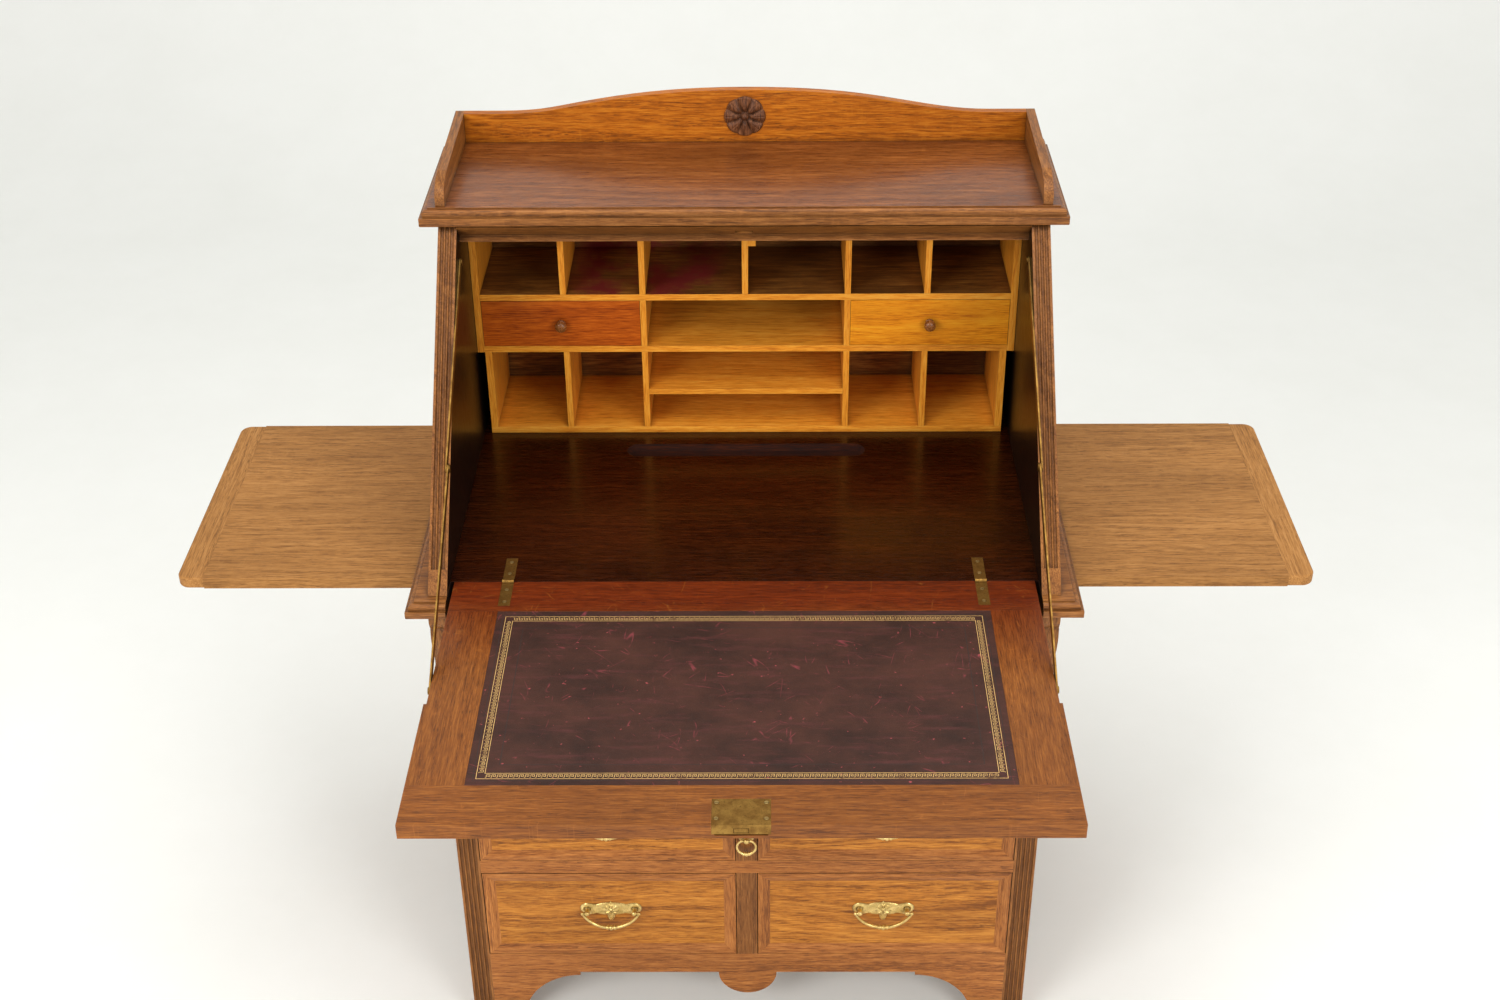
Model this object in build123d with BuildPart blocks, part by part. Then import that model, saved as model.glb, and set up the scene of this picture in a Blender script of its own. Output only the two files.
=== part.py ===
"""Slant fall-front writing bureau in oak, with a fitted interior, side slides and six drawers.

Every place is worked out from the hinge line of the fall. Sizes named y_ and z_ below count from that line:
y is behind it when positive, and z is above the writing surface when positive.
The finished pieces stand in the row frame: origin on the floor, under the middle of the whole desk
as it stands open, +X to the right, -Y towards the writer, +Z up.
"""

import math
import os

from build123d import *

os.makedirs("parts", exist_ok=True)

# ---- driving dimensions, mm ----
WRITING_HEIGHT = 760.0  # floor to the writing surface
CASE_HALF = 402.0  # half the width of the case
CASE_BACK = 540.0  # hinge line to the back of the case
CASE_FRONT = -32.0  # hinge line to the front of the case
SIDE_THICK = 24.5
POST_WIDTH = 30.0
HEAD_ROOM = 361.0  # writing surface to the underside of the top board
SLANT = 47.3  # degrees, slope of the closed fall from the horizontal
GAP = 0.1  # hairline between pieces that meet

FALL_DEPTH = 462.0
FALL_HALF = 375.5
FALL_THICK = 19.0
FALL_REAR_RAIL = 65.0
FALL_FRONT_RAIL = 66.0
LEATHER_HALF = 309.0
STAY_RECESS = 3.5  # how far the fall's edge is cut back for the stays

BOARD_THICK = 20.0  # waist board
WAIST_HALF = 429.0
WAIST_FRONT = -55.5
TOP_THICK = 23.5
TOP_HALF = 426.0
TOP_FRONT = 293.0
GALLERY_THICK = 12.5
GALLERY_HALF = 404.5
GALLERY_END_HEIGHT = 42.0
GALLERY_CREST = 75.5

LEAF_OUT = 744.0  # middle of the desk to the tip of an open side slide
LEAF_TRAVEL = 313.0
LEAF_LENGTH = 425.0
LEAF_DEPTH = 394.0
LEAF_FRONT = 38.0
LEAF_THICK = 16.0
LEAF_END = 35.0  # width of the clamped end
SLOT_HEIGHT = 16.6
PEG_RADIUS = 6.0

ROW_HEIGHTS = (157.0, 135.0, 113.0)  # drawer rows, from the bottom
RAIL = 23.0
RAIL_DEPTH = 22.0
LOWEST_DRAWER = -632.0
MUNTIN_HALF = 14.5
DRAWER_GAP = 1.2
DRAWER_FRONT_THICK = 20.0
APRON_BOTTOM = -669.0
PENDANT_RADIUS = 42.0

UNIT_FRONT = 376.0  # pigeonhole unit
UNIT_BACK = 529.5
UNIT_BOARD = 9.5
UNIT_HALF_UPPER = 377.2
UNIT_HALF_LOWER = 367.0
SHELVES = (131.5, 212.0)  # undersides of the two long shelves
UNIT_TOP = 352.0
UPRIGHT_HALF = 4.2
COLUMN = 142.0  # middle of the desk to the inner uprights
OUTER_COLUMN = 252.0

STAY_PIVOT = (296.0, 310.0)  # on the side of the case
STAY_UPPER = 300.5
STAY_LOWER = 301.7
STAY_ON_FALL = (-214.0, -9.5)
STAY_WIDTH = 12.0
STAY_THICK = 2.0

HINGE_X = 303.0
HINGE_LEAF = 53.0
HINGE_WIDTH = 15.0

LOCK_HALF = 32.5
LOCK_DEPTH = 43.0
LOCK_LIP = 13.0  # how far the lock plate turns down over the edge
LOCK_LEVEL = 8.0  # middle of the bolt below the fall's inner face

# ---- sizes that follow ----
HINGE_Y = (FALL_DEPTH - CASE_BACK) / 2
SIDE_INNER = CASE_HALF - SIDE_THICK
POST_INNER = CASE_HALF - POST_WIDTH
BACK_THICK = 10.0
SLOT_TOP = -BOARD_THICK - GAP
SLOT_BOTTOM = SLOT_TOP - SLOT_HEIGHT
LOWER_TOP = SLOT_BOTTOM - GAP
PEG_OUT = LEAF_OUT - LEAF_LENGTH + 15
COS = math.cos(math.radians(SLANT))
SIN = math.sin(math.radians(SLANT))
LOWER_SIDE = 23.0  # thickness of the lower side boards
LOWER_INNER = CASE_HALF - LOWER_SIDE
ROW_BOTTOMS = [LOWEST_DRAWER + sum(ROW_HEIGHTS[:row]) + row * RAIL for row in range(len(ROW_HEIGHTS))]
ROWS = [(bottom, bottom + height) for bottom, height in zip(ROW_BOTTOMS, ROW_HEIGHTS)]


# ---- helpers ----
def place(x, y, z):
    """A point of the row frame from x, and y and z counted from the hinge line."""
    return (x, HINGE_Y + y, WRITING_HEIGHT + z)


def slab(x, y, z, mode=Mode.ADD):
    """A rectangular board between two x, two y and two z values."""
    with Locations(place(sum(x) / 2, sum(y) / 2, sum(z) / 2)):
        Box(x[1] - x[0], y[1] - y[0], z[1] - z[0], mode=mode)


def both_sides(x, y, z, mode=Mode.ADD):
    """The same board at the right and at the left."""
    slab(x, y, z, mode)
    slab((-x[1], -x[0]), y, z, mode)


def rod(x, y, z, radius, mode=Mode.ADD):
    """A round bar along X between two x values."""
    with Locations(place(sum(x) / 2, y, z)):
        Cylinder(radius, x[1] - x[0], rotation=(0, 90, 0), mode=mode)


def stud(x, y, z, radius, mode=Mode.ADD):
    """A round bar along Y between two y values."""
    with Locations(place(x, sum(y) / 2, z)):
        Cylinder(radius, y[1] - y[0], rotation=(90, 0, 0), mode=mode)


def button(x, y, z, radius, mode=Mode.ADD):
    """A round bar along Z between two z values."""
    with Locations(place(x, y, sum(z) / 2)):
        Cylinder(radius, z[1] - z[0], mode=mode)


def side_plane(x):
    """A sketching plane at x whose own x runs along +Y and own y along +Z, from the hinge line."""
    return Plane(origin=place(x, 0, 0), x_dir=(0, 1, 0), z_dir=(1, 0, 0))


def front_plane(y, x=0.0, z=0.0):
    """A sketching plane that faces the writer, its own x along +X and own y along +Z."""
    return Plane(origin=place(x, y, z), x_dir=(1, 0, 0), z_dir=(0, -1, 0))


def finish(piece, name):
    """Labels a finished piece and writes it."""
    piece.part.label = name
    export_step(piece.part, f"parts/{name}.step")


def moulded_steps(half, front, back, bottom, thick):
    """A board with a stepped moulding on its front and ends: a square fillet, an ovolo and a flat field."""
    lower, ovolo, field = 0.52 * thick, 0.4 * thick, 0.08 * thick
    slab((-half, half), (front, back), (bottom, bottom + lower))
    edges = faces().sort_by(Axis.Z)[0].edges().group_by(Axis.Y)[:-1]
    fillet([edge for group in edges for edge in group], 2.5)
    step = 4.0
    top = bottom + lower + ovolo
    slab((-half + step, half - step), (front + step, back), (bottom + lower, top))
    edges = faces().sort_by(Axis.Z)[-1].edges().group_by(Axis.Y)[:-1]
    fillet([edge for group in edges for edge in group], 5.0)
    inset = 11.0
    slab((-half + inset, half - inset), (front + inset, back), (top, top + field))


# ---- case: boards that stand still ----
def waist_board():
    """Moulded board that carries the upper case, cut away in front for the fall, with a pen groove."""
    groove_length, groove_width, groove_y, groove_depth = 338.0, 34.0, 326.0, 7.0
    with BuildPart() as board:
        moulded_steps(WAIST_HALF, WAIST_FRONT, CASE_BACK, -BOARD_THICK, BOARD_THICK)
        slab((-SIDE_INNER, SIDE_INNER), (WAIST_FRONT - 1, 0.4), (-BOARD_THICK - 1, 1), Mode.SUBTRACT)
        with BuildSketch(Plane(origin=place(0, groove_y, 0))):
            SlotOverall(groove_length, groove_width)
        extrude(amount=-groove_depth, taper=50, mode=Mode.SUBTRACT)
        for side in (-1, 1):
            hinge_seat(side, 1)
    finish(board, "waist_board")


def hinge_seat(side, way):
    """The shallow seat of one hinge leaf and half of the hollow for its knuckle."""
    x = (side * HINGE_X - HINGE_WIDTH / 2 - GAP, side * HINGE_X + HINGE_WIDTH / 2 + GAP)
    y = sorted((way * (HINGE_LEAF + GAP), way * -0.5))
    slab(x, y, (-1.9, 1), Mode.SUBTRACT)
    rod(x, 0, 0, 3.7, Mode.SUBTRACT)


def upper_sides():
    """The slanted end boards, their front edges fluted down to a plain foot."""
    foot, flute_radius, flute_pitch, flute_start = CASE_FRONT, 2.5, 6.4, 34.0
    slope_length = HEAD_ROOM / SIN
    top_y = foot + HEAD_ROOM / math.tan(math.radians(SLANT))
    with BuildPart() as boards:
        for side in (-1, 1):
            inner, outer = sorted((side * SIDE_INNER, side * CASE_HALF))
            with BuildSketch(side_plane(inner)):
                with BuildLine():
                    Polyline((foot, GAP), (top_y, HEAD_ROOM - GAP), (CASE_BACK, HEAD_ROOM - GAP),
                             (CASE_BACK, GAP), close=True)
                make_face()
            extrude(amount=outer - inner)
            for step in (-1, 0, 1):
                x = (inner + outer) / 2 + step * flute_pitch
                start = place(x, foot + flute_start * COS, flute_start * SIN)
                with BuildSketch(Plane(origin=start, x_dir=(1, 0, 0), z_dir=(0, COS, SIN))):
                    Circle(flute_radius)
                extrude(amount=slope_length - flute_start + 10, mode=Mode.SUBTRACT)
    finish(boards, "upper_sides")


def top_board():
    """The moulded top."""
    with BuildPart() as board:
        moulded_steps(TOP_HALF, TOP_FRONT, CASE_BACK, HEAD_ROOM, TOP_THICK)
    finish(board, "top_board")


def gallery():
    """The low back with an arched crest, two shaped side pieces and the carved rosette."""
    base = HEAD_ROOM + TOP_THICK + GAP
    half = GALLERY_HALF - GALLERY_THICK - GAP
    back_y = CASE_BACK - GALLERY_THICK - 1
    shoulder, arch = 300.0, 170.0
    end, crest = base + GALLERY_END_HEIGHT, base + GALLERY_CREST
    middle = ((shoulder + 20 + arch) / 2, (end + crest - 12) / 2 - 1)
    with BuildPart() as back:
        with BuildSketch(front_plane(back_y + GALLERY_THICK)):
            with BuildLine():
                Line((-half, base), (half, base))
                Line((half, base), (half, end))
                Line((half, end), (shoulder + 40, end))
                Spline((shoulder + 40, end), middle, (arch, crest - 11), (0, crest), (-arch, crest - 11),
                       (-middle[0], middle[1]), (-shoulder - 40, end), tangents=[(-1, 0), (-1, 0)])
                Line((-shoulder - 40, end), (-half, end))
                Line((-half, end), (-half, base))
            make_face()
        extrude(amount=GALLERY_THICK)
    finish(back, "gallery_back")

    foot_y = TOP_FRONT + 14
    with BuildPart() as sides:
        for side in (-1, 1):
            inner = min(side * (GALLERY_HALF - GALLERY_THICK), side * GALLERY_HALF)
            with BuildSketch(side_plane(inner)):
                with BuildLine():
                    Line((CASE_BACK - 1, base), (foot_y, base))
                    Line((foot_y, base), (foot_y, base + 8))
                    Spline((foot_y, base + 8), (foot_y + 10, base + 24), (foot_y + 42, base + 34),
                           tangents=[(0, 1), (1, 0.16)])
                    Line((foot_y + 42, base + 34), (CASE_BACK - 1, base + GALLERY_END_HEIGHT))
                    Line((CASE_BACK - 1, base + GALLERY_END_HEIGHT), (CASE_BACK - 1, base))
                make_face()
            extrude(amount=GALLERY_THICK)
    finish(sides, "gallery_sides")

    radius, depth, petals = 29.0, 5.0, 8
    height = base + 37.5
    with BuildPart() as rosette:
        with BuildSketch(front_plane(back_y - GAP, z=height)):
            Circle(radius - 4)
            with PolarLocations(radius - 9, petals):
                Circle(9)
        extrude(amount=depth)
        stud(0, (back_y - GAP - depth - 3, back_y - GAP - depth), height, 5)
    finish(rosette, "rosette")


def lower_sides():
    """The end boards of the lower case, each cut at the bottom to leave a front and a rear foot."""
    foot, arch, rise = 70.0, 60.0, -APRON_BOTTOM
    front, back = CASE_FRONT + POST_WIDTH + GAP, CASE_BACK
    with BuildPart() as boards:
        for side in (-1, 1):
            inner = min(side * LOWER_INNER, side * CASE_HALF)
            with BuildSketch(side_plane(inner)):
                with BuildLine():
                    Polyline((front, -WRITING_HEIGHT), (front, LOWER_TOP), (back, LOWER_TOP),
                             (back, -WRITING_HEIGHT), (back - foot, -WRITING_HEIGHT))
                    RadiusArc((back - foot, -WRITING_HEIGHT), (back - foot - arch, -rise), -arch * 1.25)
                    Line((back - foot - arch, -rise), (front + foot + arch, -rise))
                    RadiusArc((front + foot + arch, -rise), (front + foot, -WRITING_HEIGHT), -arch * 1.25)
                    Line((front + foot, -WRITING_HEIGHT), (front, -WRITING_HEIGHT))
                make_face()
            extrude(amount=LOWER_SIDE)
    finish(boards, "lower_sides")


def front_posts():
    """The two front posts, fluted down to the floor."""
    flute_radius, flute_pitch, plain = 2.4, 6.2, 105.0
    with BuildPart() as posts:
        both_sides((POST_INNER, CASE_HALF), (CASE_FRONT, CASE_FRONT + POST_WIDTH),
                   (-WRITING_HEIGHT, LOWER_TOP))
        for side in (-1, 1):
            for step in (-1.5, -0.5, 0.5, 1.5):
                x = side * (POST_INNER + CASE_HALF) / 2 + step * flute_pitch
                button(x, CASE_FRONT, (-WRITING_HEIGHT + 12, LOWER_TOP - plain), flute_radius, Mode.SUBTRACT)
    finish(posts, "front_posts")


def corbels():
    """The scrolled brackets under the ears of the waist board."""
    top, face = -BOARD_THICK - GAP, CASE_FRONT - GAP
    with BuildPart() as brackets:
        for side in (-1, 1):
            inner = min(side * (POST_INNER + 1), side * (CASE_HALF - 1))
            with BuildSketch(side_plane(inner)):
                with BuildLine():
                    Polyline((face, top), (face - 17, top), (face - 17, top - 6))
                    RadiusArc((face - 17, top - 6), (face - 11, top - 22), -22)
                    Line((face - 11, top - 22), (face - 13, top - 25))
                    Spline((face - 13, top - 25), (face - 13.5, top - 44), (face - 6, top - 68),
                           (face - 3, top - 88), tangents=[(-0.2, -1), (0, -1)])
                    Polyline((face - 3, top - 88), (face, top - 90), (face, top))
                make_face()
            extrude(amount=POST_WIDTH - 2)
    finish(brackets, "corbels")


def slide_bed():
    """The board on which the side slides run, with a groove for each stop peg."""
    half, y = LOWER_INNER - GAP, LEAF_FRONT + LEAF_DEPTH / 2
    with BuildPart() as bed:
        slab((-half, half), (CASE_FRONT + POST_WIDTH + GAP, CASE_BACK - BACK_THICK - GAP),
             (LOWER_TOP - 14, LOWER_TOP))
        both_sides((PEG_OUT - LEAF_TRAVEL - PEG_RADIUS - 1, PEG_OUT + PEG_RADIUS),
                   (y - PEG_RADIUS - 1, y + PEG_RADIUS + 1), (LOWER_TOP - 15, LOWER_TOP + 1), Mode.SUBTRACT)
    finish(bed, "slide_bed")


def slide_rails():
    """Front and rear rails that close the slot of the side slides and carry the waist board."""
    with BuildPart() as rails:
        slab((-CASE_HALF, CASE_HALF), (CASE_FRONT, LEAF_FRONT - 1), (SLOT_BOTTOM, SLOT_TOP))
        slab((-CASE_HALF, CASE_HALF), (LEAF_FRONT + LEAF_DEPTH + 1, CASE_BACK), (SLOT_BOTTOM, SLOT_TOP))
    finish(rails, "slide_rails")


def front_frame():
    """Rails between the drawer rows, centre muntins, frieze and shaped apron."""
    half = POST_INNER - GAP
    depth = (CASE_FRONT, CASE_FRONT + RAIL_DEPTH)
    with BuildPart() as rails:
        for bottom, top in ROWS:
            slab((-half, half), depth, (top + GAP, top + RAIL))
            slab((-MUNTIN_HALF, MUNTIN_HALF), depth, (bottom + GAP, top))
    finish(rails, "front_rails")

    frieze_bottom = ROWS[-1][1] + RAIL
    border = 17.0
    with BuildPart() as frieze:
        slab((-half, half), depth, (frieze_bottom, LOWER_TOP - GAP))
        middle, height = (frieze_bottom + LOWER_TOP) / 2, LOWER_TOP - frieze_bottom - 24
        bevelled_field(0, 2 * half - 30, middle, height, border)
    finish(frieze, "frieze")

    step_x, step_z = 243.0, 6.0
    radius = WRITING_HEIGHT + APRON_BOTTOM - step_z - 1
    with BuildPart() as apron:
        with BuildSketch(front_plane(CASE_FRONT + RAIL_DEPTH)):
            with BuildLine():
                for side in (-1, 1):
                    Line((side * PENDANT_RADIUS, APRON_BOTTOM), (side * step_x, APRON_BOTTOM))
                    Line((side * step_x, APRON_BOTTOM), (side * step_x, APRON_BOTTOM - step_z))
                    RadiusArc((side * step_x, APRON_BOTTOM - step_z),
                              (side * (step_x + radius), APRON_BOTTOM - step_z - radius), side * radius)
                    Polyline((side * (step_x + radius), APRON_BOTTOM - step_z - radius),
                             (side * (step_x + radius), -WRITING_HEIGHT), (side * half, -WRITING_HEIGHT),
                             (side * half, LOWEST_DRAWER), (0, LOWEST_DRAWER))
                RadiusArc((-PENDANT_RADIUS, APRON_BOTTOM), (PENDANT_RADIUS, APRON_BOTTOM), -PENDANT_RADIUS)
            make_face()
        extrude(amount=RAIL_DEPTH)
    finish(apron, "apron")


def bevelled_field(x, width, z, height, border, front=CASE_FRONT):
    """Sinks a flat field into a board's face inside a mitred, sloping border."""
    sink, rise = 3.5, 9.0
    with BuildSketch(front_plane(front, x, z)) as field:
        Rectangle(width - 2 * (border - rise), height - 2 * (border - rise))
    extrude(field.sketch, amount=-sink, taper=math.degrees(math.atan(rise / sink)), mode=Mode.SUBTRACT)


def drawer_runners():
    """Side and centre runners under each row of drawers."""
    y = (CASE_FRONT + RAIL_DEPTH + GAP, CASE_BACK - BACK_THICK - GAP)
    behind_post = (CASE_FRONT + POST_WIDTH + GAP, y[1])
    with BuildPart() as runners:
        for bottom, top in ROWS:
            both_sides((350, LOWER_INNER - GAP), behind_post, (bottom - 18, bottom + 0.2))
            slab((-24, 24), y, (bottom - 18, bottom + 0.2))
            slab((-11, 11), y, (bottom + 0.3, bottom + 26))
    finish(runners, "drawer_runners")


def back_panels():
    """The boards that close the back of the upper and the lower case."""
    y = (CASE_BACK - BACK_THICK, CASE_BACK)
    with BuildPart() as panels:
        slab((-SIDE_INNER + GAP, SIDE_INNER - GAP), y, (GAP, HEAD_ROOM - GAP))
        half = LOWER_INNER - GAP
        slab((-half, half), y, (APRON_BOTTOM, LOWER_TOP - GAP))
    finish(panels, "back_panels")


def strike_rail():
    """The rebated rail under the top against which the fall closes, with a mortise for the lock bolt."""
    clear, lip = 1.5, 9.0
    depth = 24.0
    end = FALL_DEPTH + clear

    def on_fall(reach, out):
        """A point of the closed fall's section, reach from the hinge and out from its inner face."""
        return (reach * COS - out * SIN, reach * SIN + out * COS)

    far_y, far_z = on_fall(end, 0)
    out_top = (HEAD_ROOM - GAP - end * SIN) / COS
    with BuildPart() as rail:
        with BuildSketch(side_plane(-SIDE_INNER + GAP)):
            with BuildLine():
                Polyline(on_fall(end, out_top), on_fall(end, -1), on_fall(end - lip, -1),
                         (far_y + depth, on_fall(end - lip, -1)[1]), (far_y + depth, HEAD_ROOM - GAP),
                         close=True)
            make_face()
        extrude(amount=2 * (SIDE_INNER - GAP))
        mouth = on_fall(end - 2, LOCK_LEVEL)
        with BuildSketch(Plane(origin=place(0, *mouth), x_dir=(1, 0, 0), z_dir=(0, COS, SIN))):
            Rectangle(24, 10)
        extrude(amount=14, mode=Mode.SUBTRACT)
    finish(rail, "strike_rail")


# ---- pigeonhole unit ----
def pigeonholes():
    """The fitted interior: long shelves and the uprights between them."""
    deep = (UNIT_FRONT, UNIT_BACK)
    low, high = SHELVES
    board = UNIT_BOARD
    inner_upper = UNIT_HALF_UPPER - board - GAP
    centre_shelf = 63.0
    with BuildPart() as shelves:
        slab((-UNIT_HALF_LOWER, UNIT_HALF_LOWER), deep, (GAP, board))
        slab((-inner_upper, inner_upper), deep, (low, low + board))
        slab((-inner_upper, inner_upper), deep, (high, high + board))
        slab((-inner_upper, inner_upper), deep, (UNIT_TOP, UNIT_TOP + 8))
        inner = COLUMN - UPRIGHT_HALF - GAP
        slab((-inner, inner), deep, (centre_shelf, centre_shelf + 8.5))
    finish(shelves, "pigeonhole_shelves")

    with BuildPart() as uprights:
        both_sides((UNIT_HALF_UPPER - board, UNIT_HALF_UPPER), deep, (low, UNIT_TOP + 8))
        both_sides((UNIT_HALF_LOWER - board, UNIT_HALF_LOWER), deep, (board + GAP, low - GAP))
        rows = (
            (board + GAP, low - GAP, (COLUMN, OUTER_COLUMN)),
            (low + board + GAP, high - GAP, (COLUMN,)),
            (high + board + GAP, UNIT_TOP - GAP, (COLUMN, OUTER_COLUMN)),
        )
        for bottom, top, places in rows:
            for x in places:
                both_sides((x - UPRIGHT_HALF, x + UPRIGHT_HALF), deep, (bottom, top))
        slab((-UPRIGHT_HALF, UPRIGHT_HALF), deep, (high + board + GAP, UNIT_TOP - GAP))
        slab((UPRIGHT_HALF, 15), (UNIT_FRONT, UNIT_FRONT + 10), (UNIT_TOP - 58, UNIT_TOP - 42))
    finish(uprights, "pigeonhole_uprights")


def small_drawers():
    """The two interior drawers with their turned knobs."""
    low, high = SHELVES
    inner = COLUMN + UPRIGHT_HALF + 0.5
    outer = UNIT_HALF_UPPER - UNIT_BOARD - 0.6
    bottom, top = low + UNIT_BOARD + 0.5, high - 0.8
    middle = (inner + outer) / 2
    for name, side in (("left", -1), ("right", 1)):
        x = sorted((side * inner, side * outer))
        with BuildPart() as drawer:
            drawer_box(x, (UNIT_FRONT, UNIT_FRONT + 9), UNIT_BACK - 8, (bottom, top - 4), 6, 5)
            slab(x, (UNIT_FRONT, UNIT_FRONT + 9), (bottom, top))
        finish(drawer, f"small_drawer_{name}")
        with BuildPart() as knob:
            face = UNIT_FRONT - GAP
            with BuildSketch(side_plane(side * middle)):
                with BuildLine():
                    height = (bottom + top) / 2
                    Polyline((face, height), (face, height + 6), (face - 2, height + 6),
                             (face - 4, height + 3.5))
                    Spline((face - 4, height + 3.5), (face - 10, height + 8), (face - 16, height),
                           tangents=[(-0.3, 1), (0, -1)])
                    Line((face - 16, height), (face, height))
                make_face()
            axis = Axis(place(side * middle, 0, height), (0, 1, 0))
            revolve(axis=axis)
        finish(knob, f"knob_{name}")


def drawer_box(x, front, back, z, wall, floor):
    """The open tray behind a drawer front: two sides, a back and a bottom."""
    slab(x, (front[1] + GAP, back), z)
    slab((x[0] + wall, x[1] - wall), (front[1], back - wall), (z[0] + floor, z[1] + 1), Mode.SUBTRACT)


# ---- the fall ----
def fall():
    """The fall-front: two rails, two stiles and a panel sunk for the writing leather."""
    below, front = -FALL_THICK, -FALL_DEPTH
    rear, inner = -FALL_REAR_RAIL, -FALL_DEPTH + FALL_FRONT_RAIL
    recess = (FALL_HALF - STAY_RECESS, FALL_HALF + 1)
    notch = STAY_ON_FALL[0] - 37
    with BuildPart() as frame:
        slab((-FALL_HALF, FALL_HALF), (rear, -0.4), (below, 0))
        slab((-FALL_HALF, FALL_HALF), (front, inner), (below, 0))
        both_sides((LEATHER_HALF, FALL_HALF), (inner + GAP, rear - GAP), (below, 0))
        both_sides(recess, (notch, 1), (below - 1, 1), Mode.SUBTRACT)
        for side in (-1, 1):
            hinge_seat(side, -1)
        slab((-LOCK_HALF - GAP, LOCK_HALF + GAP), (front - 1, front + LOCK_DEPTH + GAP), (-2.1, 1),
             Mode.SUBTRACT)
        slab((-LOCK_HALF - GAP, LOCK_HALF + GAP), (front - 1, front + 1.9), (-LOCK_LIP - GAP, 1),
             Mode.SUBTRACT)
        slab((-LOCK_HALF + 3, LOCK_HALF - 3), (front, front + LOCK_DEPTH - 4), (-15, 0), Mode.SUBTRACT)
    finish(frame, "fall_frame")

    half = LEATHER_HALF - GAP
    with BuildPart() as panel:
        slab((-half, half), (inner + GAP, rear - GAP), (below, -1.7))
    finish(panel, "fall_panel")
    with BuildPart() as leather:
        slab((-half, half), (inner + GAP, rear - GAP), (-1.6, -0.2))
    finish(leather, "leather")


def screw_head(x, y, bottom):
    """A slotted screw head, flush in its plate but for its slight crown."""
    button(x, y, (bottom, 0.4), 2.6)
    slab((x - 3, x + 3), (y - 0.4, y + 0.4), (-0.3, 1), Mode.SUBTRACT)


def lock():
    """The lock let into the front rail of the fall: plate with its lip, screws, bolt and escutcheon."""
    front = -FALL_DEPTH
    bolt_half, bolt_thick = 8.0, 6.0
    corners = [(side * (LOCK_HALF - 5), front + y) for side in (-1, 1) for y in (11.0, LOCK_DEPTH - 6)]
    with BuildPart() as plate:
        slab((-LOCK_HALF, LOCK_HALF), (front, front + LOCK_DEPTH), (-2, 0))
        slab((-LOCK_HALF, LOCK_HALF), (front, front + 1.8), (-LOCK_LIP, -2))
        slab((-bolt_half - 0.5, bolt_half + 0.5), (front - 1, front + 1.8),
             (-LOCK_LEVEL - bolt_thick / 2 - 0.5, -LOCK_LEVEL + bolt_thick / 2 + 0.5), Mode.SUBTRACT)
        for x, y in corners:
            button(x, y, (-3, 1), 2.7, Mode.SUBTRACT)
            screw_head(x, y, -2)
    finish(plate, "lock_plate")
    with BuildPart() as bolt:
        slab((-bolt_half, bolt_half), (front + 0.2, front + 26),
             (-LOCK_LEVEL - bolt_thick / 2, -LOCK_LEVEL + bolt_thick / 2))
    finish(bolt, "lock_bolt")
    with BuildPart() as escutcheon:
        with BuildSketch(Plane(origin=place(0, front + 26, -FALL_THICK - GAP))):
            Ellipse(11, 17)
            Circle(2.6, mode=Mode.SUBTRACT)
            with Locations((0, 4)):
                Rectangle(2.4, 9, mode=Mode.SUBTRACT)
        extrude(amount=-1.2)
    finish(escutcheon, "escutcheon")


def hinges():
    """Two brass flap hinges: the fixed leaf has the outer knuckles, the leaf on the fall the middle one."""
    knuckle, pin, third = 3.3, 1.5, HINGE_WIDTH / 3
    screws = (18.0, HINGE_LEAF - 9)

    def leaf(way, spans):
        for side in (-1, 1):
            x = side * HINGE_X
            y = sorted((way * 3.7, way * HINGE_LEAF))
            slab((x - HINGE_WIDTH / 2, x + HINGE_WIDTH / 2), y, (-1.8, 0))
            for low, high in spans:
                rod((x + low, x + high), 0, 0, knuckle)
                slab((x + low, x + high), sorted((way * 1.8, way * 3.7)), (-1.8, 0))
            rod((x - HINGE_WIDTH, x + HINGE_WIDTH), 0, 0, pin + 0.05, Mode.SUBTRACT)
            for y in screws:
                button(x, way * y, (-3, 1), 2.7, Mode.SUBTRACT)
                screw_head(x, way * y, -1.8)

    half = HINGE_WIDTH / 2
    with BuildPart() as fixed:
        leaf(1, ((-half, -third / 2 - GAP), (third / 2 + GAP, half)))
    finish(fixed, "hinge_leaves_case")
    with BuildPart() as moving:
        leaf(-1, ((-third / 2, third / 2),))
    finish(moving, "hinge_leaves_fall")
    with BuildPart() as pins:
        for side in (-1, 1):
            rod((side * HINGE_X - half, side * HINGE_X + half), 0, 0, pin)
    finish(pins, "hinge_pins")


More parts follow.
